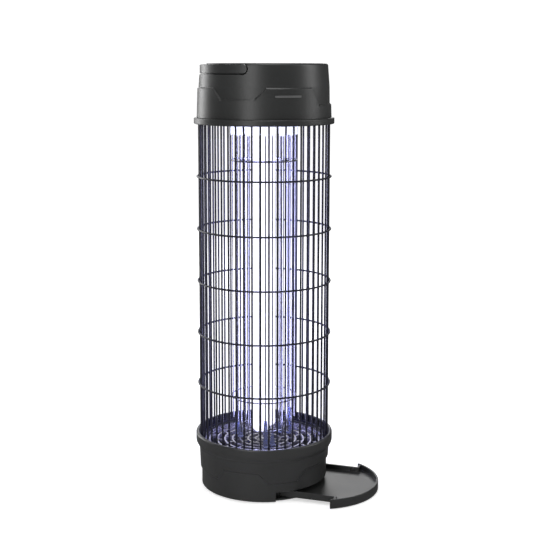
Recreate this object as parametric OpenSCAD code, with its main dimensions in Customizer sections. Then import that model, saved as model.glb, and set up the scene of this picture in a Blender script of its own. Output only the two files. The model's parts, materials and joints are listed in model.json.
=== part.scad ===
// Free-standing electric bug zapper: a round cage between a top housing and a base with a pull-out tray.
// Origin: centre of the base on the resting plane. +Z up, +X is the way the tray pulls out.

/* [Overall] */
// Height from the resting plane to the top face
total_h = 450; // [440:1:470]
// Angle of every circle's facets
$fn = 96; // [48:8:128]

/* [Cage] */
// Number of upright bars
bar_count = 50; // [44:1:54]
// Diameter of the bar and ring wire
wire_d = 2.0; // [1.6:0.1:2.4]
// Radius of the circle the bars stand on
bar_circle_r = 68; // [67.5:0.1:68.2]
// Direction of the first bar, degrees from +X
bar_phase = -74.1; // [-90:0.1:90]
// Number of outer rings
ring_count = 5; // [3:1:7]
// Height of the lowest ring
ring_low_z = 112; // [90:1:130]
// Height of the highest ring
ring_high_z = 333.2; // [300:1:360]

/* [Base] */
// Height of the base rim
base_h = 58.6; // [56:0.1:62]
// Outer radius of the rim lip
rim_r = 73.3; // [73:0.1:75]
// Outer radius of the wall below the moulded step
base_lower_r = 67.3; // [67:0.1:67.8]
// Outer radius of the wall just under the rim
base_upper_r = 70.0; // [69:0.1:71]
// Height of the grille's upper face
grille_top_z = 48; // [47:0.1:49]
// Number of concentric grille rings
grille_rings = 6; // [4:1:6]

/* [Tray] */
// How far the tray stands out of the base
tray_out = 58; // [0:1:120]
// Half the width over the tray's side walls
tray_half_w = 47; // [44:0.5:48]
// Height of the tray's front wall
tray_front_h = 9.7; // [9:0.1:9.8]
// Half the angle of the curved front wall
tray_front_a = 60.3; // [55:0.1:61]

/* [Electric grid] */
// Wires in each of the two grids
grid_wires = 12; // [8:1:12]
// Diameter of the grid wire
grid_wire_d = 1.5; // [1.2:0.1:1.8]
// Radius of the outer grid's wires
grid_outer_r = 33; // [31:0.5:36]
// Radius of the inner grid's wires
grid_inner_r = 26; // [25:0.5:27]
// Height of the outer grid's lower ring
grid_low_z = 96.5; // [85:0.5:110]
// Height of the inner grid's lower ring
grid_inner_low_z = 62.5; // [62.5:0.5:110]
// Height of the upper grid rings
grid_high_z = 350; // [330:1:365]
// Posts under each of the two grids
post_count = 3; // [2:1:4]

/* [Lamp] */
// Diameter of each lamp tube
tube_d = 17.5; // [15:0.1:18]
// Distance between the two tubes' centres
tube_pitch = 20; // [18.5:0.1:21]
// Height of the lamp's lower end
lamp_low_z = 60; // [54:0.5:62]

/* [Handle] */
// Outer radius of the folded handle
handle_r = 66.6; // [66:0.1:66.8]
// Radial thickness of the handle
handle_t = 6.0; // [5:0.1:6.2]
// Height of the handle strap
handle_h = 9.6; // [8:0.1:9.8]

/* [Hidden] */

// Levels of the housing
cap_z = 388;
cap_h = 6.5;
shell_z = cap_z + cap_h;
cap_r = 73.2;
shell_foot_r = 70.2;
shell_step_r = 69.1;
shell_upper_r = 67.95;
shell_top_r = 66.4;
shell_step_z = 426.5;
shell_wall_r = 65.2;
top_round = 3;

// Moulded step: each entry is first angle, last angle and height
top_steps = [[56, 241, 424.8], [250, 281, 414], [291, 333, 424.8], [342, 407, 408.5]];
base_steps = [[-241, -117, 20], [-108, -76, 31.5], [-67, -41, 21], [-32, 69, 31.5], [78, 110, 24]];
step_bevel = 1.1;

// Handle pivot and the ledge the handle folds into
pivot_z = 444.2;
pivot_r = 2.0;
ledge_z = 438.7;
ledge_r = 59.6;
boss_r = 4.8;
pocket_r = 5.9;

// Switch and mains inlet on the rear of the housing
seat_y = 67.6;
switch_a = -28;
switch_z = 413.5;
inlet_z = 412;

// Cage
ring_r = bar_circle_r + wire_d - 0.1;
hoop_r = bar_circle_r - wire_d + 0.1;
hoop_low_z = 51.1;
hoop_high_z = 390.6;
bar_low_z = 50.1;
bar_high_z = 391.4;

// Base
ledge_in_r = 64.2;
base_in_r = 65.0;
flare_r = 8;
flare_lower = [base_upper_r - 0.6, 40];
flare_a = acos(1 - (rim_r - flare_lower[0]) / 2 / flare_r);
flare_upper = [rim_r, flare_lower[1] + 2 * flare_r * sin(flare_a)];
plate_r = 63.6;
plate_z = 0.9;
plate_t = 1.9;
slot_top_z = 10.9;

// Tray
tray_floor_z = 3.5;
tray_floor_t = 1.5;
tray_wall = 2.0;
tray_side_z = 10.0;
tray_wall_z = 0.8;
tray_rear_r = 61.5;

// Electric grid
outer_phase = -68.4;
inner_phase = -81.4;
grid_top_z = 386.5;
outer_bottom_z = 72;
inner_bottom_z = 57;
outer_post_h = 29;
inner_post_h = 13;
grid_outer_ring_r = grid_outer_r + grid_wire_d - 0.1;
grid_inner_ring_r = grid_inner_r - grid_wire_d + 0.1;

// Places where a lead goes down to each grid: radius and direction
lead_spots = [[grid_outer_r, outer_phase + 240], [grid_inner_r, inner_phase + 270]];

// Boards
board_z = 405;
board_t = 1.6;

// 2D rounded rectangle from one corner to the other, with exact corner arcs
module rrect(x0, y0, x1, y1, r) {
    translate([x0 + r, y0])
        square([x1 - x0 - 2 * r, y1 - y0]);
    translate([x0, y0 + r])
        square([x1 - x0, y1 - y0 - 2 * r]);
    for (x = [x0 + r, x1 - r], y = [y0 + r, y1 - r])
        translate([x, y])
            circle(r = r, $fn = 32);
}

// Round-edged ring of rectangular section
module band(r0, r1, z0, z1, r) {
    rotate_extrude()
        rrect(r0, z0, r1, z1, r);
}

// Tube with square edges
module pipe(r0, r1, z0, z1) {
    translate([0, 0, z0])
        difference() {
            cylinder(r = r1, h = z1 - z0);
            translate([0, 0, -1])
                cylinder(r = r0, h = z1 - z0 + 2);
        }
}

// Ring of round wire
module wire_ring(r, z, d) {
    translate([0, 0, z])
        rotate_extrude()
            translate([r, 0])
                circle(d = d, $fn = 24);
}

// Upright round wires on a circle
module wire_circle(r, n, phase, z0, z1, d) {
    for (i = [0:n - 1])
        rotate([0, 0, phase + i * 360 / n])
            translate([r, 0, z0])
                cylinder(d = d, h = z1 - z0, $fn = 24);
}

// Square with its corner at a point
module square_at(x, y, w, h) {
    translate([x, y])
        square([w, h]);
}

// Box that is centred in x and y
module block(x, y, z, h) {
    translate([-x / 2, -y / 2, z])
        cube([x, y, h]);
}

// Rounded upright box, centred in x and y
module soft_block(x, y, z, h, r) {
    translate([0, 0, z])
        linear_extrude(h)
            rrect(-x / 2, -y / 2, x / 2, y / 2, r);
}

// One sector of the space above (side = 1) or below (side = -1) a level part of the moulded step.
// The step's bevel meets the wall radius rw at the step's own height plus the bevel.
module step_sector(a0, a1, z, rw, z_end, side) {
    r0 = rw - 3;
    r1 = rw + 5;
    rotate([0, 0, a0])
        rotate_extrude(angle = a1 - a0)
            polygon([
                [r0, z + side * (step_bevel + 3)],
                [r1, z + side * (step_bevel - 5)],
                [r1, z_end],
                [r0, z_end]
            ]);
}

// The same space where the step runs on a slant from za to zb
module step_slant(a0, a1, za, zb, rw, z_end, side) {
    run = 2 * rw * sin((a1 - a0) / 2);
    tilt = atan2(zb - za, run);
    zm = (za + zb) / 2 + side * step_bevel;
    z_far = side > 0 ? min(za, zb) - 8 : max(za, zb) + 8;
    lap = 0.12;
    intersection() {
        rotate([0, 0, a0 - lap])
            rotate_extrude(angle = a1 - a0 + 2 * lap)
                polygon([[rw - 3, z_far], [rw + 5, z_far], [rw + 5, z_end], [rw - 3, z_end]]);
        rotate([0, 0, (a0 + a1) / 2])
            translate([rw, 0, zm])
                rotate([tilt, 0, 0])
                    rotate([0, side * 45, 0])
                        translate([-25, -20, side > 0 ? 0 : -45])
                            cube([60, 40, 45]);
    }
}

// Raised band of the wall whose edge is the moulded step
module step_band(steps, rw, z_end, side) {
    n = len(steps);
    difference() {
        rotate_extrude()
            children();
        for (i = [0:n - 1])
            step_sector(steps[i][0], steps[i][1], steps[i][2], rw, z_end, side);
        for (i = [0:n - 1])
            step_slant(
                steps[i][1],
                steps[(i + 1) % n][0] + (i == n - 1 ? 360 : 0),
                steps[i][2],
                steps[(i + 1) % n][2],
                rw,
                z_end,
                side
            );
    }
}

// Flat seat on the rear of the housing with room for one fitting
module rear_seat(x, z0, z1) {
    translate([-x / 2, seat_y, z0])
        cube([x, 6, z1 - z0]);
}

module top_shell() {
    color([0.23, 0.235, 0.235])
        difference() {
            union() {
                rotate_extrude() {
                    polygon([
                        [0, shell_z],
                        [shell_upper_r + 0.5, shell_z],
                        [shell_upper_r, shell_step_z],
                        [shell_top_r, total_h - top_round],
                        [0, total_h - top_round]
                    ]);
                    square_at(0, total_h - top_round - 1, shell_top_r - top_round, top_round + 1);
                    translate([shell_top_r - top_round, total_h - top_round])
                        circle(r = top_round, $fn = 48);
                }
                step_band(top_steps, shell_upper_r, shell_step_z + 4, 1)
                    polygon([
                        [shell_upper_r - 2, shell_z],
                        [shell_foot_r, shell_z],
                        [shell_step_r, shell_step_z + 2],
                        [shell_upper_r - 2, shell_step_z + 2]
                    ]);
            }
            // main cavity
            translate([0, 0, shell_z - 1])
                cylinder(r = shell_wall_r, h = ledge_z - 3 - shell_z + 1);
            // upper cavity inside the ledge wall
            translate([0, 0, ledge_z - 4])
                cylinder(r = ledge_r - 2.6, h = total_h - 3 - ledge_z + 4);
            // hollow behind the wall on the half without the handle
            rotate([0, 0, -76])
                rotate_extrude(angle = 152)
                    square_at(ledge_r - 4, ledge_z - 5, 64.6 - ledge_r + 4, total_h - 5 - ledge_z + 5);
            // ledge for the folded handle, with a round pocket and a notch at each end
            intersection() {
                pipe(ledge_r, 80, ledge_z - 3, total_h + 2);
                union() {
                    translate([-90, -90, ledge_z])
                        cube([90, 180, 30]);
                    translate([0, 90, pivot_z])
                        rotate([90, 0, 0])
                            cylinder(r = pocket_r, h = 180);
                    translate([-1, -90, pivot_z])
                        cube([pocket_r + 0.4, 180, 20]);
                }
            }
            // pin holes
            for (s = [-1, 1])
                translate([0, s * 62, pivot_z])
                    rotate([s * 90, 0, 0])
                        cylinder(r = pivot_r, h = 10);
            // shallow dish in the top face
            translate([0, 0, total_h - 0.8])
                cylinder(r1 = 46, r2 = 48, h = 1.2);
            // seats for the switch and the mains inlet
            rear_seat(24, 403, 421);
            translate([0, 60, inlet_z])
                rotate([-90, 0, 0])
                    soft_block(18, 11.4, 0, 20, 2);
            rotate([0, 0, switch_a]) {
                rear_seat(25, 401.5, 425.5);
                translate([0, 60, switch_z])
                    rotate([-90, 0, 0])
                        soft_block(13, 19.2, 0, 20, 0.6);
            }
        }
    // screw bosses around the cavity
    color([0.23, 0.235, 0.235])
        for (a = [45:90:315])
            rotate([0, 0, a])
                difference() {
                    translate([0, 0, shell_z + 3.5]) {
                        translate([60.3, 0, 0])
                            cylinder(r = 4, h = 34);
                        translate([62, -1.5, 0])
                            cube([4.5, 3, 34]);
                    }
                    translate([60.3, 0, shell_z])
                        cylinder(r = 1.25, h = 22, $fn = 32);
                }
}

module cage_cap() {
    color([0.2, 0.205, 0.205])
        difference() {
            union() {
                band(10, cap_r, cap_z, shell_z, 1.2);
                translate([0, 0, cap_z])
                    cylinder(r = 20, h = cap_h);
                band(62.5, 65.0, shell_z - 2, shell_z + 3.2, 0.4);
            }
            // groove that takes the ends of the cage
            pipe(64.9, 69.2, cap_z - 1, bar_high_z + 0.1);
            // opening for the lamp
            translate([0, 0, cap_z - 1])
                linear_extrude(cap_h + 2)
                    rrect(-10.2, -22.4, 10.2, 22.4, 9);
            // shallow recess between the grid and the cage
            pipe(44, 58, cap_z - 1, cap_z + 1.2);
            // screw holes with counterbores
            for (a = [45:90:315])
                rotate([0, 0, a])
                    translate([60.3, 0, cap_z - 1]) {
                        cylinder(r = 1.7, h = 20, $fn = 32);
                        cylinder(r = 3.2, h = 3.2, $fn = 48);
                    }
            // passages for the two high-voltage feeds
            for (p = lead_spots)
                rotate([0, 0, p[1]])
                    translate([p[0], 0, cap_z - 1])
                        cylinder(r = 1.2, h = cap_h + 2, $fn = 32);
        }
    color([0.2, 0.205, 0.205])
        for (x = [-1, 1], y = [-1, 1])
            translate([x * 36, y * 26, shell_z - 0.01])
                difference() {
                    cylinder(r = 3, h = board_z - shell_z + 0.01, $fn = 48);
                    translate([0, 0, 1])
                        cylinder(r = 1.05, h = 20, $fn = 32);
                }
}

// Plain raised bar on the front of the housing
module badge() {
    color([0.5, 0.5, 0.5])
        intersection() {
            rotate([0, 0, -50.5 - 12.3])
                rotate_extrude(angle = 24.6)
                    square_at(69.3, 412, 0.65, 10);
            rotate([0, 0, -50.5])
                translate([60, 0, 417.3])
                    rotate([0, 90, 0])
                        linear_extrude(20)
                            rrect(-1.1, -14, 1.1, 14, 1.05);
        }
}

module handle() {
    color([0.21, 0.215, 0.215])
        difference() {
            intersection() {
                band(handle_r - handle_t, handle_r, pivot_z - handle_h / 2, pivot_z + handle_h / 2, 1.1);
                union() {
                    translate([-80, -80, pivot_z - 20])
                        cube([80, 160, 40]);
                    translate([0, 90, pivot_z])
                        rotate([90, 0, 0])
                            cylinder(r = boss_r, h = 180);
                }
            }
            for (s = [-1, 1])
                translate([0, s * 55, pivot_z])
                    rotate([-s * 90, 0, 0])
                        cylinder(r = pivot_r + 0.05, h = 10.6);
        }
}

module handle_pins() {
    color([0.7, 0.7, 0.72])
        for (s = [-1, 1])
            translate([0, s * 55.6, pivot_z])
                rotate([-s * 90, 0, 0]) {
                    cylinder(r = pivot_r, h = 9.8);
                    cylinder(r = pivot_r + 1.4, h = 1.3);
                }
}

module switch_body() {
    color([0.08, 0.08, 0.085])
        rotate([0, 0, switch_a])
            translate([0, seat_y, switch_z])
                rotate([-90, 0, 0])
                    difference() {
                        union() {
                            soft_block(15, 21, 0, 1.8, 1);
                            soft_block(12.8, 19, -13, 13, 0.5);
                            for (x = [-3.5, 3.5])
                                translate([x, 0, 0])
                                    block(0.8, 4.8, -20, 7.5);
                        }
                        soft_block(10.4, 16.4, -5.5, 8, 0.3);
                        translate([-6.1, 0, 0.7])
                            rotate([0, 90, 0])
                                cylinder(r = 0.87, h = 12.2, $fn = 32);
                    }
}

// Rocker: two flat wings on a small axle, pressed in at one end
module switch_rocker() {
    color([0.55, 0.08, 0.07])
        rotate([0, 0, switch_a])
            translate([0, seat_y + 0.7, switch_z])
                rotate([8, 0, 0])
                    rotate([0, 90, 0]) {
                        translate([0, 0, -4.8])
                            linear_extrude(9.6)
                                intersection() {
                                    circle(r = 7.9);
                                    polygon([[-9, 3.4], [0, 1.6], [9, 3.4], [9, -2.6], [-9, -2.6]]);
                                }
                        translate([0, 0, -6])
                            cylinder(r = 0.8, h = 12, $fn = 32);
                    }
}

module mains_inlet() {
    color([0.07, 0.07, 0.075])
        translate([0, seat_y, inlet_z])
            rotate([-90, 0, 0])
                difference() {
                    union() {
                        soft_block(22, 15, 0, 1.5, 2.5);
                        soft_block(17.8, 11.2, -15, 15, 2);
                    }
                    for (x = [-4, 4])
                        translate([x, 0, -12.5])
                            cylinder(r = 4.1, h = 20);
                    block(8, 8.2, -12.5, 20);
                    for (x = [-4.3, 4.3])
                        translate([x, 0, -16])
                            cylinder(r = 1.22, h = 20, $fn = 32);
                }
}

module inlet_pins() {
    color([0.75, 0.72, 0.6])
        translate([0, seat_y, inlet_z])
            rotate([-90, 0, 0])
                for (x = [-4.3, 4.3])
                    translate([x, 0, -19])
                        cylinder(r = 1.18, h = 17.5, $fn = 32);
}

// Board cut to the curve of the housing, on one side of the lamp holder
module board(side) {
    translate([0, 0, board_z])
        linear_extrude(board_t)
            difference() {
                intersection() {
                    circle(r = 55);
                    translate([side > 0 ? 17 : -60, -38])
                        square([43, 76]);
                }
                for (y = [-26, 26])
                    translate([side * 36, y])
                        circle(r = 1.6, $fn = 32);
            }
}

module ballast_board() {
    color([0.12, 0.35, 0.2])
        board(1);
}

module hv_board() {
    color([0.12, 0.35, 0.2])
        board(-1);
}

module ballast_choke() {
    color([0.75, 0.6, 0.2])
        translate([29, -8, board_z + board_t]) {
            block(16, 12, 0, 4);
            block(16, 12, 12, 4);
            block(7, 7, 4, 8);
            difference() {
                translate([0, 0, 4.4])
                    cylinder(r = 5.8, h = 7.2);
                block(7, 7, 3, 10);
            }
        }
}

module bulk_capacitor() {
    color([0.15, 0.15, 0.3])
        translate([44, 8, board_z + board_t]) {
            cylinder(r = 6.2, h = 20);
            translate([0, 0, 20])
                cylinder(r1 = 6.2, r2 = 5.4, h = 0.8);
        }
}

module ballast_transistors() {
    color([0.12, 0.12, 0.13])
        for (y = [8, 20])
            translate([25, y, board_z + board_t])
                difference() {
                    union() {
                        block(4.4, 10, 3, 9.2);
                        translate([-1.6, 0, 0])
                            block(1.2, 10, 3, 15.5);
                        for (k = [-2.5, 0, 2.5])
                            translate([0, k, 0])
                                block(0.6, 0.9, 0, 3.5);
                    }
                    translate([-5, 0, 15.5])
                        rotate([0, 90, 0])
                            cylinder(r = 1.6, h = 8, $fn = 32);
                }
}

module fuse() {
    color([0.85, 0.85, 0.8])
        translate([44, -6, board_z + board_t + 5])
            rotate([90, 0, 0]) {
                cylinder(r = 2.3, h = 20);
                cylinder(r = 2.6, h = 4.6);
                translate([0, 0, 15.4])
                    cylinder(r = 2.6, h = 4.6);
                for (z = [2.3, 17.7])
                    translate([0, 0, z - 1])
                        translate([-1, -5, 0])
                            cube([2, 4, 2]);
            }
}

module terminal_block() {
    color([0.15, 0.4, 0.25])
        translate([32, 34.2, board_z + board_t])
            difference() {
                block(15, 7, 0, 10);
                for (k = [-5, 0, 5])
                    translate([k, 0, 6])
                        cylinder(r = 1.7, h = 5, $fn = 32);
                for (k = [-5, 0, 5])
                    translate([k, 0, 3.2])
                        rotate([-90, 0, 0])
                            cylinder(r = 1.4, h = 5, $fn = 32);
            }
}

module hv_transformer() {
    color([0.35, 0.33, 0.3])
        translate([-38, -9, board_z + board_t]) {
            block(22, 5, 0, 19);
            translate([0, -6, 0])
                block(20, 7.2, 2, 15);
            translate([0, 6, 0])
                block(20, 7.2, 2, 15);
        }
}

module hv_capacitors() {
    color([0.2, 0.35, 0.7])
        for (i = [0:3])
            translate([-27 - i * 6.4, 18, board_z + board_t]) {
                soft_block(4.6, 11, 2, 9, 1.6);
                for (y = [-3.5, 3.5])
                    translate([0, y, 0])
                        cylinder(r = 0.4, h = 2.5, $fn = 24);
            }
}

module hv_diodes() {
    color([0.1, 0.1, 0.1])
        for (i = [0:3])
            translate([-27 - i * 6.4, 5, board_z + board_t + 2.2])
                rotate([-90, 0, 0]) {
                    translate([0, 0, 0.5])
                        cylinder(r = 1.4, h = 5);
                    translate([0, 0, -1.2])
                        cylinder(r = 0.4, h = 8.4, $fn = 24);
                    for (z = [-1.2, 6.4])
                        translate([-0.4, 0, z])
                            cube([0.8, 2.2, 0.8]);
                }
}

module bleed_resistor() {
    color([0.75, 0.65, 0.45])
        translate([-33, 33, board_z + board_t + 3])
            rotate([0, 90, 0])
                translate([0, 0, -8]) {
                    rotate_extrude() {
                        square([1.8, 16]);
                        square([2.2, 3]);
                        translate([0, 13])
                            square([2.2, 3]);
                    }
                    for (z = [-1, 16.2])
                        translate([0, -0.4, z])
                            cube([3, 0.8, 0.8]);
                    translate([0, 0, -1])
                        cylinder(r = 0.4, h = 18, $fn = 24);
                }
}

// Leads from the high-voltage board down to each grid
module hv_leads() {
    color([0.7, 0.1, 0.1])
        for (p = lead_spots)
            rotate([0, 0, p[1]])
                translate([p[0], 0, cap_z])
                    cylinder(r = 1.0, h = board_z - cap_z, $fn = 32);
}

module board_screws() {
    color([0.75, 0.75, 0.77])
        for (x = [-36, 36], y = [-26, 26])
            translate([x, y, board_z + board_t]) {
                difference() {
                    cylinder(r = 2.6, h = 1.7, $fn = 48);
                    block(0.7, 4, 0.9, 2);
                    block(4, 0.7, 0.9, 2);
                }
                translate([0, 0, -9])
                    cylinder(r = 1.0, h = 9.2, $fn = 32);
            }
}

module cap_screws() {
    color([0.6, 0.6, 0.62])
        for (a = [45:90:315])
            rotate([0, 0, a])
                translate([60.3, 0, cap_z + 0.1]) {
                    difference() {
                        cylinder(r = 2.8, h = 2.1, $fn = 48);
                        translate([0, 0, -1.2])
                            block(0.8, 4.2, 0, 2);
                        translate([0, 0, -1.2])
                            block(4.2, 0.8, 0, 2);
                    }
                    translate([0, 0, 2])
                        cylinder(r = 1.2, h = 18, $fn = 32);
                }
}

// Push-in holder for the four-pin lamp, with a foot at each end
module lamp_holder() {
    color([0.88, 0.88, 0.86])
        difference() {
            union() {
                soft_block(22, 44, 410.2, 15, 2);
                for (s = [-1, 1])
                    translate([0, s * 27, 0])
                        difference() {
                            soft_block(12, 12, 410.2, 3, 2);
                            translate([0, 0, 408])
                                cylinder(r = 1.7, h = 8, $fn = 32);
                        }
                for (s = [-1, 1])
                    translate([0, s * 27, 0])
                        pipe(1.7, 3.4, shell_z, 410.2);
            }
            for (y = [-15.5, -7.5, 7.5, 15.5])
                translate([0, y, 409])
                    cylinder(r = 1.25, h = 8, $fn = 32);
            soft_block(8, 4, 409, 6, 1);
        }
}

module lamp_cap() {
    color([0.9, 0.9, 0.88])
        difference() {
            union() {
                soft_block(19, 42, 388.6, 16, 8);
                soft_block(19, 42, 404, 6, 4);
            }
            for (s = [-1, 1])
                translate([0, s * tube_pitch / 2, 386])
                    cylinder(r = tube_d / 2 + 0.05, h = 12.1);
            for (y = [-15.5, -7.5, 7.5, 15.5])
                translate([0, y, 404])
                    cylinder(r = 1.1, h = 8, $fn = 32);
        }
}

module lamp_pins() {
    color([0.8, 0.78, 0.7])
        for (y = [-15.5, -7.5, 7.5, 15.5])
            translate([0, y, 404.2])
                cylinder(r = 1.1, h = 11.5, $fn = 32);
}

// Two parallel glass tubes joined by a bridge near their lower ends, open where the cap closes them
module lamp_tubes() {
    tr = tube_d / 2;
    color([0.93, 0.93, 1.0])
        difference() {
            union() {
                for (s = [-1, 1])
                    translate([0, s * tube_pitch / 2, 0])
                        rotate_extrude() {
                            square_at(0, lamp_low_z + 4, tr, 398 - lamp_low_z - 4);
                            square_at(0, lamp_low_z, tr - 4, 6);
                            translate([tr - 4, lamp_low_z + 4])
                                circle(r = 4, $fn = 48);
                        }
                translate([0, tube_pitch / 2, lamp_low_z + 12])
                    rotate([90, 0, 0])
                        cylinder(r = 4.2, h = tube_pitch);
            }
            for (s = [-1, 1])
                translate([0, s * tube_pitch / 2, lamp_low_z + 2.5])
                    cylinder(r = tr - 1.2, h = 360);
        }
}

module grid_outer_wires() {
    color([0.7, 0.71, 0.74])
        wire_circle(grid_outer_r, grid_wires, outer_phase, outer_bottom_z, grid_top_z, grid_wire_d);
}

module grid_outer_rings() {
    color([0.25, 0.25, 0.28])
        for (z = [grid_low_z, grid_high_z])
            wire_ring(grid_outer_ring_r, z, grid_wire_d);
}

module grid_inner_wires() {
    color([0.7, 0.71, 0.74])
        wire_circle(grid_inner_r, grid_wires, inner_phase, inner_bottom_z, grid_top_z, grid_wire_d);
}

module grid_inner_rings() {
    color([0.25, 0.25, 0.28])
        for (z = [grid_inner_low_z, grid_high_z])
            wire_ring(grid_inner_ring_r, z, grid_wire_d);
}

// One insulating bush under the cap, with its hole for a wire
module bush(r, phase, head_r) {
    for (i = [0:grid_wires - 1])
        rotate([0, 0, phase + i * 360 / grid_wires])
            translate([r, 0, 0])
                difference() {
                    union() {
                        translate([0, 0, 376.5])
                            cylinder(r = 2.0, h = cap_z - 376.5, $fn = 48);
                        translate([0, 0, cap_z - 2.8])
                            cylinder(r = head_r, h = 2.8, $fn = 48);
                    }
                    translate([0, 0, 370])
                        cylinder(r = grid_wire_d / 2 + 0.03, h = grid_top_z - 370 + 0.1, $fn = 32);
                }
}

module grid_bushes() {
    color([0.16, 0.15, 0.2]) {
        bush(grid_outer_r, outer_phase, 4.0);
        bush(grid_inner_r, inner_phase, 2.8);
    }
}

// Insulating posts on the grille, tapered upwards, each with its hole for the end of a wire
module post(r, phase, first, h, wire_end) {
    for (i = [0:post_count - 1])
        rotate([0, 0, phase + (first + floor(i * grid_wires / post_count)) * 360 / grid_wires])
            translate([r, 0, grille_top_z])
                difference() {
                    rotate_extrude($fn = 48)
                        polygon([
                            [0, 0],
                            [3.2, 0],
                            [3.2, 1.2],
                            [2.6, 2.2],
                            [1.75, h - 1.5],
                            [1.4, h],
                            [0, h]
                        ]);
                    translate([0, 0, wire_end - grille_top_z - 0.1])
                        cylinder(r = grid_wire_d / 2 + 0.03, h = h, $fn = 32);
                }
}

module grid_posts() {
    color([0.4, 0.38, 0.85]) {
        post(grid_outer_r, outer_phase, 0, outer_post_h, outer_bottom_z);
        post(grid_inner_r, inner_phase, 1, inner_post_h, inner_bottom_z);
    }
}

module cage_bars() {
    color([0.07, 0.07, 0.09])
        wire_circle(bar_circle_r, bar_count, bar_phase, bar_low_z, bar_high_z, wire_d);
}

module cage_rings() {
    color([0.07, 0.07, 0.09])
        for (i = [0:ring_count - 1])
            wire_ring(ring_r, ring_low_z + i * (ring_high_z - ring_low_z) / (ring_count - 1), wire_d);
}

module cage_hoops() {
    color([0.07, 0.07, 0.09])
        for (z = [hoop_low_z, hoop_high_z - 0.3])
            wire_ring(hoop_r, z, wire_d);
}

module base_shell() {
    color([0.19, 0.195, 0.195])
        difference() {
            union() {
                rotate_extrude()
                    polygon([
                        [base_in_r, 0.9],
                        [base_lower_r - 0.5, 0.9],
                        [base_lower_r, 1.5],
                        [base_lower_r, 39],
                        for (i = [0:5])
                            flare_lower + [flare_r * (1 - cos(i * flare_a / 5)), flare_r * sin(i * flare_a / 5)],
                        for (i = [4:-1:0])
                            flare_upper - [flare_r * (1 - cos(i * flare_a / 5)), flare_r * sin(i * flare_a / 5)],
                        [rim_r, base_h - 1.6],
                        [rim_r - 0.5, base_h - 0.5],
                        [rim_r - 1.6, base_h],
                        [70.6, base_h],
                        [69.9, base_h - 0.4],
                        [69.6, base_h - 1.2],
                        [69.6, 50],
                        [ledge_in_r, 50],
                        [ledge_in_r, 44],
                        [60.8, 44],
                        [60.8, 41.6],
                        [base_in_r, 37]
                    ]);
                step_band(base_steps, base_lower_r, 10, -1)
                    polygon([
                        [base_lower_r - 1, 12],
                        [68.4, 12],
                        [base_upper_r, 46.8],
                        [base_lower_r - 1, 46.8]
                    ]);
                // screw bosses
                for (x = [-22, 22], s = [-1, 1])
                    translate([x, s * 56.5, plate_z + plate_t]) {
                        cylinder(r = 3.6, h = 12);
                        translate([-1, s * 3.8 - 2.3, 0])
                            cube([2, 4.6, 12]);
                    }
            }
            // slot for the tray
            rotate([0, 0, -tray_front_a - 0.35])
                rotate_extrude(angle = 2 * tray_front_a + 0.7)
                    square_at(base_in_r - 3, -1, 20, slot_top_z + 1);
            for (x = [-22, 22], y = [-56.5, 56.5])
                translate([x, y, plate_z])
                    cylinder(r = 1.25, h = 12.5, $fn = 32);
        }
}

// Concentric rings joined by short ribs that change their slant from ring to ring
module grille() {
    r_first = 17.5;
    r_step = (59 - r_first) / 5;
    color([0.14, 0.14, 0.17])
        translate([0, 0, grille_top_z - 4])
            union() {
                cylinder(r = 3.5, h = 4);
                pipe(8.2, 10.2, 0, 4);
                for (k = [0:grille_rings - 1])
                    pipe(r_first + k * r_step - 1, r_first + k * r_step + 1, 0, 4);
                pipe(62.2, 63.9, 0, 4);
                for (k = [0:grille_rings - 2])
                    for (i = [0:11])
                        rotate([0, 0, i * 30 + (k % 2) * 15 + 7])
                            translate([r_first + (k + 0.5) * r_step, 0, 0])
                                rotate([0, 0, k % 2 == 0 ? 24 : -24])
                                    block(8.4, 1.8, 0, 3.4);
                for (i = [0:11])
                    rotate([0, 0, i * 30 + 22])
                        translate([59.3, -1, 0])
                            cube([3.6, 2, 3.4]);
                for (i = [0:5])
                    rotate([0, 0, i * 60 + 12])
                        translate([2.5, -1, 0])
                            cube([15, 2, 3.4]);
            }
}

// Sloping skirt that leads what falls through the grille into the tray
module chute() {
    color([0.16, 0.165, 0.165])
        rotate_extrude()
            polygon([
                [60.4, 41.4],
                [64.0, 37.2],
                [64.0, 35.6],
                [60.6, 35.6],
                [46.5, 12.2],
                [44.7, 12.2],
                [58.6, 41.4]
            ]);
}

module bottom_plate() {
    color([0.15, 0.155, 0.155])
        difference() {
            union() {
                translate([0, 0, plate_z])
                    cylinder(r = plate_r, h = plate_t);
                // guides on each side of the tray
                intersection() {
                    for (s = [-1, 1])
                        translate([-60, s * 49.1 - 0.9, plate_z + plate_t - 0.01])
                            cube([93.5, 1.8, 7.3]);
                    cylinder(r = plate_r, h = 30);
                }
                // low ribs under the tray floor
                intersection() {
                    for (y = [-30, -10, 10, 30])
                        translate([-56, y - 0.6, plate_z + plate_t - 0.01])
                            cube([112, 1.2, 0.5]);
                    cylinder(r = plate_r - 3, h = 30);
                }
            }
            for (x = [-22, 22], y = [-56.5, 56.5])
                translate([x, y, plate_z - 1]) {
                    cylinder(r = 1.7, h = 6, $fn = 32);
                    cylinder(r = 3.0, h = 1.9, $fn = 48);
                }
        }
}

// Tray outline at floor level, in the closed position
module tray_plan(inset) {
    intersection() {
        union() {
            intersection() {
                translate([-70, -tray_half_w + inset])
                    square([140, 2 * (tray_half_w - inset)]);
                translate([-90, -80])
                    square([170, 160]);
            }
            translate([34.5 + inset, -58 + inset])
                square([40, 116 - 2 * inset]);
        }
        union() {
            circle(r = base_lower_r - inset);
            translate([-80, -80])
                square([80, 160]);
        }
        union() {
            circle(r = tray_rear_r - inset);
            translate([0, -80])
                square([80, 160]);
        }
    }
}

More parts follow.
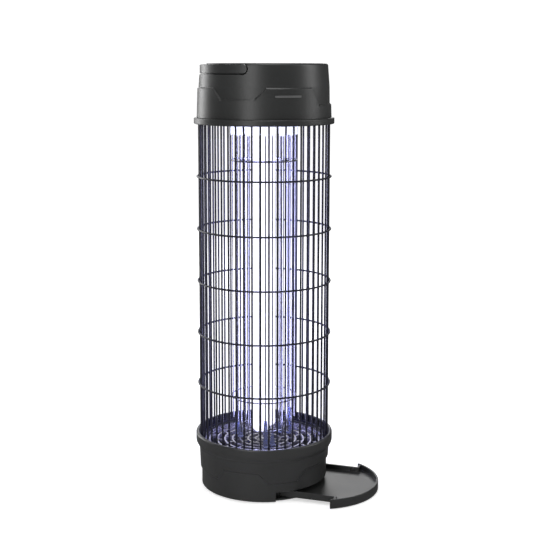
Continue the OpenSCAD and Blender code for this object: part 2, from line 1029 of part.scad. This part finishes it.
module tray() {
    color([0.22, 0.225, 0.225])
        translate([tray_out, 0, 0]) {
            difference() {
                translate([0, 0, tray_floor_z])
                    linear_extrude(tray_side_z - tray_floor_z)
                        tray_plan(0);
                translate([0, 0, tray_floor_z + tray_floor_t])
                    linear_extrude(20)
                        tray_plan(tray_wall);
            }
            // curved front wall
            rotate([0, 0, -tray_front_a])
                rotate_extrude(angle = 2 * tray_front_a)
                    polygon([
                        [base_in_r + 0.2, tray_wall_z],
                        [base_lower_r - 0.4, tray_wall_z],
                        [base_lower_r, tray_wall_z + 0.5],
                        [base_lower_r, tray_wall_z + tray_front_h - 0.5],
                        [base_lower_r - 0.4, tray_wall_z + tray_front_h],
                        [base_in_r + 0.2, tray_wall_z + tray_front_h]
                    ]);
            // small catch ribs near the front of each side wall
            for (s = [-1, 1], x = [26.5, 30])
                translate([x, s * (tray_half_w - tray_wall - 0.6) - 0.6, tray_floor_z + tray_floor_t - 0.1])
                    cube([1.0, 1.2, 4.6]);
        }
}

module foot_ring() {
    color([0.05, 0.05, 0.05])
        pipe(44, 52, 0, plate_z);
}

module base_screws() {
    color([0.6, 0.6, 0.62])
        for (x = [-22, 22], y = [-56.5, 56.5])
            translate([x, y, plate_z - 0.2]) {
                difference() {
                    cylinder(r = 2.7, h = 1.1, $fn = 48);
                    block(0.8, 3.8, -1, 1.6);
                    block(3.8, 0.8, -1, 1.6);
                }
                cylinder(r = 1.2, h = 10, $fn = 32);
            }
}

top_shell();
cage_cap();
badge();
handle();
handle_pins();
switch_body();
switch_rocker();
mains_inlet();
inlet_pins();
ballast_board();
ballast_choke();
bulk_capacitor();
ballast_transistors();
fuse();
terminal_block();
hv_board();
hv_transformer();
hv_capacitors();
hv_diodes();
bleed_resistor();
hv_leads();
board_screws();
cap_screws();
lamp_holder();
lamp_cap();
lamp_pins();
lamp_tubes();
grid_outer_wires();
grid_outer_rings();
grid_inner_wires();
grid_inner_rings();
grid_bushes();
grid_posts();
cage_bars();
cage_rings();
cage_hoops();
base_shell();
grille();
chute();
bottom_plate();
tray();
foot_ring();
base_screws();
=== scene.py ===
import bpy
import bmesh
import json
import math
from mathutils import Vector, Matrix


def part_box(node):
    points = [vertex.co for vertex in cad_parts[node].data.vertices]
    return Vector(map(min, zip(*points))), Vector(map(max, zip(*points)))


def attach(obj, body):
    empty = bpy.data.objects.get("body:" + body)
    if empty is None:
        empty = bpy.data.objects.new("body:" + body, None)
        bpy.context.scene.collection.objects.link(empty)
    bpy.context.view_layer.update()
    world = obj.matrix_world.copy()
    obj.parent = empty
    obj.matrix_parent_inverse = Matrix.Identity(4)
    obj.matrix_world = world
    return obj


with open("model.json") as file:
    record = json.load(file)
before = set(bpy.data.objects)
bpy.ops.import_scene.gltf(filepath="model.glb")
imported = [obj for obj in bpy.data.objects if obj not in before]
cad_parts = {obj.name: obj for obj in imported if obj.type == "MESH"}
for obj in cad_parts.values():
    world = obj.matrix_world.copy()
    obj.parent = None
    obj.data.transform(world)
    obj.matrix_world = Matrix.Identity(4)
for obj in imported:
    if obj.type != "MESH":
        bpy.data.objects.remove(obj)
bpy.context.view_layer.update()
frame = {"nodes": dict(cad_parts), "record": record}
nodes = frame["nodes"]
BODY = "zapper_body"

# cage, as the CAD part has it
BAR_COUNT = 50
RING_COUNT = 5
BAR_PHASE_DEG = -74.1
WIRE_R = 0.001

# camera: its direction counts from -Y towards +X, its distance is from the object's axis
CAM_ANGLE = math.radians(19)
CAM_DISTANCE = 1.2089
CAM_HEIGHT = 0.447
CAM_TILT_DEG = 8.276
CAM_FOCAL_PX = 1155.6
PICTURE_PX = 533
SENSOR_MM = 36


# ---------- shader helpers ----------
def new_mat(name):
    m = bpy.data.materials.new(name)
    m.use_nodes = True
    nt = m.node_tree
    nt.nodes.clear()
    out = nt.nodes.new("ShaderNodeOutputMaterial")
    bsdf = nt.nodes.new("ShaderNodeBsdfPrincipled")
    nt.links.new(bsdf.outputs["BSDF"], out.inputs["Surface"])
    return m, nt, bsdf


def math_node(nt, op, a, b, clamp=False):
    n = nt.nodes.new("ShaderNodeMath")
    n.operation = op
    n.use_clamp = clamp
    for i, v in enumerate((a, b)):
        if isinstance(v, (int, float)):
            n.inputs[i].default_value = v
        else:
            nt.links.new(v, n.inputs[i])
    return n.outputs[0]


def noise(nt, vec, scale, detail=3.0, rough=0.55):
    n = nt.nodes.new("ShaderNodeTexNoise")
    n.inputs["Scale"].default_value = scale
    n.inputs["Detail"].default_value = detail
    n.inputs["Roughness"].default_value = rough
    nt.links.new(vec, n.inputs["Vector"])
    return n.outputs["Fac"]


def remap(nt, val, lo, hi, a=0.0, b=1.0):
    """Map a value's range from a..b onto lo..hi."""
    n = nt.nodes.new("ShaderNodeMapRange")
    n.inputs["From Min"].default_value = a
    n.inputs["From Max"].default_value = b
    n.inputs["To Min"].default_value = lo
    n.inputs["To Max"].default_value = hi
    nt.links.new(val, n.inputs["Value"])
    return n.outputs["Result"]


def mix_col(nt, fac, a, b):
    n = nt.nodes.new("ShaderNodeMix")
    n.data_type = "RGBA"
    for sock, v in ((n.inputs["A"], a), (n.inputs["B"], b)):
        if isinstance(v, (tuple, list)):
            sock.default_value = (*v[:3], 1)
        else:
            nt.links.new(v, sock)
    nt.links.new(fac, n.inputs["Factor"])
    return n.outputs["Result"]


def coords(nt, scale=(1, 1, 1)):
    """Object coordinates, squeezed along an axis where the grain runs along it."""
    tc = nt.nodes.new("ShaderNodeTexCoord")
    mp = nt.nodes.new("ShaderNodeMapping")
    mp.inputs["Scale"].default_value = scale
    nt.links.new(tc.outputs["Object"], mp.inputs["Vector"])
    return mp.outputs["Vector"]


def edge_highlight_and_wear_factor(nt, radius, gain):
    """Bright where the surface turns sharply: worn edges, and a painted highlight along edges."""
    bev = nt.nodes.new("ShaderNodeBevel")
    bev.samples = 4
    bev.inputs["Radius"].default_value = radius
    geo = nt.nodes.new("ShaderNodeNewGeometry")
    dot = nt.nodes.new("ShaderNodeVectorMath")
    dot.operation = "DOT_PRODUCT"
    nt.links.new(bev.outputs["Normal"], dot.inputs[0])
    nt.links.new(geo.outputs["Normal"], dot.inputs[1])
    inv = math_node(nt, "SUBTRACT", 1.0, dot.outputs["Value"])
    return math_node(nt, "MULTIPLY", inv, gain, clamp=True), bev


# ---------- materials ----------
PATCH_SCALE = 35.0
EDGE_R = 0.0006
EDGE_GAIN = 2.2
ROUGH_SPREAD = 0.05
BUMP_STRENGTH = 0.55
COAT_ROUGH = 0.2
COARSE_GRAIN = 0.00003
DRAWN_GRAIN = 0.00001


def surface(name, col, rough, metallic=0.0, vary=0.12, grain=2200.0, grain_h=0.00002, spec=0.5,
            edge_wear_and_highlight=0.0, edge_wear_and_highlight_col=None, stretch=(1, 1, 1), coat=0.0):
    """Moulded, painted or drawn surface: mottled colour, uneven roughness, fine grain, edges lightened
    both as wear and as a painted edge highlight.
    """
    m, nt, bsdf = new_mat(name)
    vec = coords(nt, stretch)
    plain = coords(nt)
    big = noise(nt, plain, PATCH_SCALE, 4.0)
    fine = noise(nt, vec, grain, 2.0)
    mid = noise(nt, vec, grain * 0.12, 3.0)
    dark = tuple(c * (1 - vary) for c in col)
    light = tuple(min(1.0, c * (1 + vary)) for c in col)
    mottled = mix_col(nt, big, dark, light)
    mottled = mix_col(nt, remap(nt, mid, 0.0, 0.25), mottled, light)
    # edges lightened where the surface turns sharply: partly wear, partly a painted edge highlight
    if edge_wear_and_highlight > 0:
        fac, bev = edge_highlight_and_wear_factor(nt, EDGE_R, EDGE_GAIN)
        scratches = remap(nt, noise(nt, plain, 320.0, 5.0, 0.7), 0.25, 1.0, 0.35, 0.7)
        fac = math_node(nt, "MULTIPLY", fac, scratches)
        fac = math_node(nt, "MULTIPLY", fac, edge_wear_and_highlight, clamp=True)
        mottled = mix_col(nt, fac, mottled, edge_wear_and_highlight_col or tuple(min(1, c * 2.4 + 0.03) for c in col))
    nt.links.new(mottled, bsdf.inputs["Base Color"])
    r = math_node(nt, "ADD", remap(nt, big, -ROUGH_SPREAD, ROUGH_SPREAD),
                  remap(nt, fine, rough - ROUGH_SPREAD, rough + ROUGH_SPREAD))
    nt.links.new(r, bsdf.inputs["Roughness"])
    bsdf.inputs["Metallic"].default_value = metallic
    bsdf.inputs["Specular IOR Level"].default_value = spec
    bsdf.inputs["Coat Weight"].default_value = coat
    bsdf.inputs["Coat Roughness"].default_value = COAT_ROUGH
    bump = nt.nodes.new("ShaderNodeBump")
    bump.inputs["Strength"].default_value = BUMP_STRENGTH
    bump.inputs["Distance"].default_value = grain_h
    nt.links.new(fine, bump.inputs["Height"])
    if edge_wear_and_highlight > 0:
        nt.links.new(bev.outputs["Normal"], bump.inputs["Normal"])
    nt.links.new(bump.outputs["Normal"], bsdf.inputs["Normal"])
    return m


def lit_glass(name, col, strength):
    """Coated lamp glass that glows: whitest face-on, more violet at its edges, slightly mottled."""
    m, nt, bsdf = new_mat(name)
    lw = nt.nodes.new("ShaderNodeLayerWeight")
    lw.inputs["Blend"].default_value = 0.35
    mottle = noise(nt, coords(nt), 60.0, 3.0)
    glow_col = mix_col(nt, lw.outputs["Facing"], (1.0, 0.99, 1.0), col)
    nt.links.new(glow_col, bsdf.inputs["Emission Color"])
    nt.links.new(remap(nt, mottle, strength * 0.94, strength * 1.06), bsdf.inputs["Emission Strength"])
    nt.links.new(mix_col(nt, mottle, (0.8, 0.8, 0.9), (0.9, 0.9, 0.97)), bsdf.inputs["Base Color"])
    bsdf.inputs["Roughness"].default_value = 0.12
    return m


def tinted_post_with_painted_glow(name, c0, c1, trans, painted_glow):
    """Tinted translucent insulator with a painted glow: its emission stands in for the lamp's light
    carried through it.
    """
    m, nt, bsdf = new_mat(name)
    mottle = noise(nt, coords(nt), 500.0, 3.0)
    nt.links.new(mix_col(nt, mottle, c0, c1), bsdf.inputs["Base Color"])
    nt.links.new(remap(nt, mottle, 0.16, 0.3), bsdf.inputs["Roughness"])
    bsdf.inputs["Transmission Weight"].default_value = trans
    # painted glow: emission on an insulator, which is no lamp
    bsdf.inputs["Emission Color"].default_value = (0.9, 0.94, 1.0, 1)
    nt.links.new(remap(nt, mottle, painted_glow * 0.85, painted_glow * 1.15), bsdf.inputs["Emission Strength"])
    bsdf.inputs["IOR"].default_value = 1.5
    return m


mats = {
    "housing_plastic": surface("housing_plastic", (0.022, 0.0228, 0.0225), 0.40, edge_wear_and_highlight=0.5,
                               grain_h=COARSE_GRAIN),
    "cap_plastic": surface("cap_plastic", (0.020, 0.0208, 0.0208), 0.42, edge_wear_and_highlight=0.5,
                           grain_h=COARSE_GRAIN),
    "handle_plastic": surface("handle_plastic", (0.020, 0.0208, 0.0208), 0.38, edge_wear_and_highlight=0.5,
                              grain_h=COARSE_GRAIN),
    "badge_plastic": surface("badge_plastic", (0.085, 0.086, 0.086), 0.35, vary=0.08, grain=3000),
    "pin_steel": surface("pin_steel", (0.6, 0.6, 0.62), 0.3, 1.0, 0.06, 1400, DRAWN_GRAIN,
                         stretch=(1, 0.05, 1)),
    "screw_steel": surface("screw_steel", (0.55, 0.56, 0.6), 0.34, 1.0, 0.08, 1500, DRAWN_GRAIN,
                           edge_wear_and_highlight=0.3, edge_wear_and_highlight_col=(0.8, 0.8, 0.82)),
    "switch_plastic": surface("switch_plastic", (0.02, 0.02, 0.022), 0.42, edge_wear_and_highlight=0.3),
    "rocker_plastic": surface("rocker_plastic", (0.42, 0.025, 0.018), 0.22, vary=0.08, grain=1200,
                              edge_wear_and_highlight=0.25, coat=0.3),
    "inlet_plastic": surface("inlet_plastic", (0.018, 0.018, 0.02), 0.45, edge_wear_and_highlight=0.3),
    "contact_brass": surface("contact_brass", (0.72, 0.58, 0.3), 0.28, 1.0, 0.08, 1600, DRAWN_GRAIN,
                             stretch=(1, 1, 0.1)),
    "board_laminate": surface("board_laminate", (0.02, 0.11, 0.045), 0.4, vary=0.2, grain=900),
    "winding": surface("winding", (0.65, 0.36, 0.12), 0.35, 0.6, 0.15, 1800, 0.00008,
                       stretch=(0.05, 0.05, 1)),
    "capacitor_sleeve": surface("capacitor_sleeve", (0.03, 0.035, 0.12), 0.3, vary=0.1, grain=600),
    "device_black": surface("device_black", (0.02, 0.02, 0.02), 0.5, grain_h=0.00004),
    "fuse_glass": surface("fuse_glass", (0.75, 0.78, 0.75), 0.12, vary=0.05, grain=400),
    "terminal_plastic": surface("terminal_plastic", (0.03, 0.16, 0.06), 0.4),
    "core_steel": surface("core_steel", (0.18, 0.17, 0.16), 0.45, 0.8, 0.15, 2600, 0.00006,
                          stretch=(1, 0.03, 0.03)),
    "film_blue": surface("film_blue", (0.05, 0.12, 0.45), 0.25, vary=0.12, grain=500),
    "resistor_body": surface("resistor_body", (0.55, 0.45, 0.28), 0.35, vary=0.1, grain=700),
    "lead_insulation": surface("lead_insulation", (0.5, 0.03, 0.03), 0.45, vary=0.06, grain=800),
    "lamp_white": surface("lamp_white", (0.8, 0.8, 0.78), 0.38, vary=0.05, grain=1500),
    "lamp_glass": lit_glass("lamp_glass", (0.74, 0.75, 1.0), 1.12),
    "grid_steel": surface("grid_steel", (0.22, 0.22, 0.24), 0.42, 1.0, 0.1, 1600, DRAWN_GRAIN,
                          stretch=(1, 1, 0.04)),
    # bushes and posts glow: painted light standing in for the lamp's light passing through them
    "bush_plastic": tinted_post_with_painted_glow("bush_plastic", (0.66, 0.67, 0.84), (0.84, 0.85, 0.95), 0.6, 0.4),
    "post_plastic": tinted_post_with_painted_glow("post_plastic", (0.09, 0.10, 0.30), (0.24, 0.28, 0.6), 0.6, 0.03),
    "cage_paint": surface("cage_paint", (0.015, 0.015, 0.025), 0.42, vary=0.2, grain=1300,
                          grain_h=COARSE_GRAIN, spec=0.3),
    "base_plastic": surface("base_plastic", (0.030, 0.0305, 0.0305), 0.40, edge_wear_and_highlight=0.5,
                            grain_h=COARSE_GRAIN),
    # the grille's pale lavender base colour is painted light: it stands in for the lamp's violet light
    # falling on the dark grille
    "grille_plastic": surface("grille_plastic", (0.17, 0.165, 0.21), 0.26, edge_wear_and_highlight=0.4,
                              grain_h=COARSE_GRAIN),
    "tray_plastic": surface("tray_plastic", (0.024, 0.0245, 0.0245), 0.40, edge_wear_and_highlight=0.5,
                            grain_h=COARSE_GRAIN),
    "foot_rubber": surface("foot_rubber", (0.015, 0.015, 0.015), 0.7, grain=1300, grain_h=0.00008),
}
slot_of = {s["node"]: s["material_slot"] for s in frame["record"]["subparts"]}
for name, obj in nodes.items():
    for ms in obj.material_slots:
        ms.material = mats[slot_of[name]]


# ---------- added piece: weld nuggets where each bar meets each ring ----------
def mesh_obj(name, bm, slot, body=BODY):
    me = bpy.data.meshes.new(name)
    bm.to_mesh(me)
    bm.free()
    for p in me.polygons:
        p.use_smooth = True
    o = bpy.data.objects.new(name, me)
    bpy.context.scene.collection.objects.link(o)
    me.materials.append(mats[slot])
    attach(o, body)


WELD_R = 0.00125
WELD_INSET = 0.00095
lo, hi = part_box("cage_rings")
ring_r = hi[0] - WIRE_R
weld_r = ring_r - WELD_INSET
z_low, z_high = lo[2] + WIRE_R, hi[2] - WIRE_R
bm = bmesh.new()
for k in range(RING_COUNT):
    z = z_low + k * (z_high - z_low) / (RING_COUNT - 1)
    for i in range(BAR_COUNT):
        a = math.radians(BAR_PHASE_DEG + 360 / BAR_COUNT * i)
        uneven = 0.1 * math.sin(i * 2.3 + k)
        m = Matrix.Rotation(a, 4, "Z") @ Matrix.Translation((weld_r, 0, z))
        m = m @ Matrix.Diagonal((0.45, 1.15 + uneven, 1.2, 1))
        bmesh.ops.create_icosphere(bm, subdivisions=1, radius=WELD_R, matrix=m)
mesh_obj("cage_welds", bm, "cage_paint")

# ---------- floor: paper that brightens to plain white away from the object ----------
bpy.ops.mesh.primitive_circle_add(vertices=96, radius=6.0, fill_type="NGON", location=(0, 0, 0))
floor = bpy.context.object
floor.name = "studio_floor"
floor_mat, nt, bsdf = new_mat("floor_paper")
nv = noise(nt, coords(nt), 3.0, 2.0)
nt.links.new(mix_col(nt, nv, (0.86, 0.86, 0.86), (0.9, 0.9, 0.9)), bsdf.inputs["Base Color"])
bsdf.inputs["Roughness"].default_value = 0.9
bsdf.inputs["Specular IOR Level"].default_value = 0.1
bsdf.inputs["Emission Color"].default_value = (1, 1, 1, 1)
dist = nt.nodes.new("ShaderNodeVectorMath")
dist.operation = "LENGTH"
nt.links.new(coords(nt), dist.inputs[0])
nt.links.new(remap(nt, dist.outputs["Value"], 0.55, 1.02, 0.2, 1.3), bsdf.inputs["Emission Strength"])
floor.data.materials.append(floor_mat)
floor.visible_glossy = False

# ---------- world: white to the camera, dim as a light ----------
BACKDROP = 1.05
AMBIENT = 0.10
world = bpy.data.worlds.new("studio")
bpy.context.scene.world = world
world.use_nodes = True
wn = world.node_tree
wn.nodes.clear()
world_out = wn.nodes.new("ShaderNodeOutputWorld")
ambient = wn.nodes.new("ShaderNodeBackground")
backdrop = wn.nodes.new("ShaderNodeBackground")
light_path = wn.nodes.new("ShaderNodeLightPath")
mixer = wn.nodes.new("ShaderNodeMixShader")
ambient.inputs["Color"].default_value = (1, 1, 1, 1)
ambient.inputs["Strength"].default_value = AMBIENT
backdrop.inputs["Color"].default_value = (1, 1, 1, 1)
backdrop.inputs["Strength"].default_value = BACKDROP
wn.links.new(light_path.outputs["Is Camera Ray"], mixer.inputs["Fac"])
wn.links.new(ambient.outputs[0], mixer.inputs[1])
wn.links.new(backdrop.outputs[0], mixer.inputs[2])
wn.links.new(mixer.outputs[0], world_out.inputs["Surface"])


# ---------- lights ----------
def area_light(name, w, h, power, loc, turn):
    li = bpy.data.lights.new(name, "AREA")
    li.shape = "RECTANGLE"
    li.size = w
    li.size_y = h
    li.energy = power
    o = bpy.data.objects.new(name, li)
    bpy.context.scene.collection.objects.link(o)
    o.location = loc
    o.rotation_euler = turn
    o.visible_camera = False
    return li


def soft_light(name, angle, dist, z, w, h, power, aim_z=0.25):
    """Soft light at an angle from the camera's direction, positive to the right of the picture."""
    a = CAM_ANGLE + math.radians(angle)
    loc = Vector((math.sin(a) * dist, -math.cos(a) * dist, z))
    aim = (Vector((0, 0, aim_z)) - loc).to_track_quat("-Z", "Y").to_euler()
    area_light(name, w, h, power, loc, aim)


soft_light("key", -24, 1.5, 0.7, 0.45, 1.3, 9)
soft_light("side", 89, 1.4, 0.85, 0.5, 1.0, 7.5)
soft_light("rim", -131, 1.4, 0.5, 0.5, 1.3, 12)
soft_light("top", 20, 0.25, 1.7, 0.8, 0.8, 9)
soft_light("back", 183, 1.6, 0.85, 1.0, 0.6, 7.4, aim_z=0.05)

# ---------- camera ----------
cam = bpy.data.cameras.new("camera")
cam_o = bpy.data.objects.new("camera", cam)
bpy.context.scene.collection.objects.link(cam_o)
cam.sensor_width = SENSOR_MM
cam.lens = CAM_FOCAL_PX / PICTURE_PX * SENSOR_MM
cam.shift_y = -0.0605
cam.shift_x = 0.0045
cam.clip_start = 0.01
cam_o.location = (math.sin(CAM_ANGLE) * CAM_DISTANCE, -math.cos(CAM_ANGLE) * CAM_DISTANCE, CAM_HEIGHT)
cam_o.rotation_euler = (math.radians(90 - CAM_TILT_DEG), 0, CAM_ANGLE)
bpy.context.scene.camera = cam_o

# ---------- the lamp's own light: tall strips just outside the tubes, facing outward all round ----------
STRIP_COUNT = 6
STRIP_W = 0.011
STRIP_H = 0.31
STRIP_POWER = 0.30
STRIP_GAP = 0.0012
STRIP_DROP = 0.006
glass_lo, glass_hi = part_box("lamp_tubes")
strip_r = glass_hi[1] + STRIP_GAP
strip_z = (glass_lo[2] + glass_hi[2]) / 2 - STRIP_DROP
for i in range(STRIP_COUNT):
    a = math.radians(360 / STRIP_COUNT * (i + 0.5))
    loc = (math.cos(a) * strip_r, math.sin(a) * strip_r, strip_z)
    outward = (math.radians(90), 0, a - math.radians(90))
    li = area_light("lamp_glow_%d" % i, STRIP_W, STRIP_H, STRIP_POWER, loc, outward)
    li.color = (0.52, 0.53, 1.0)

bpy.context.scene.view_settings.view_transform = "Standard"
bpy.context.scene.view_settings.look = "None"
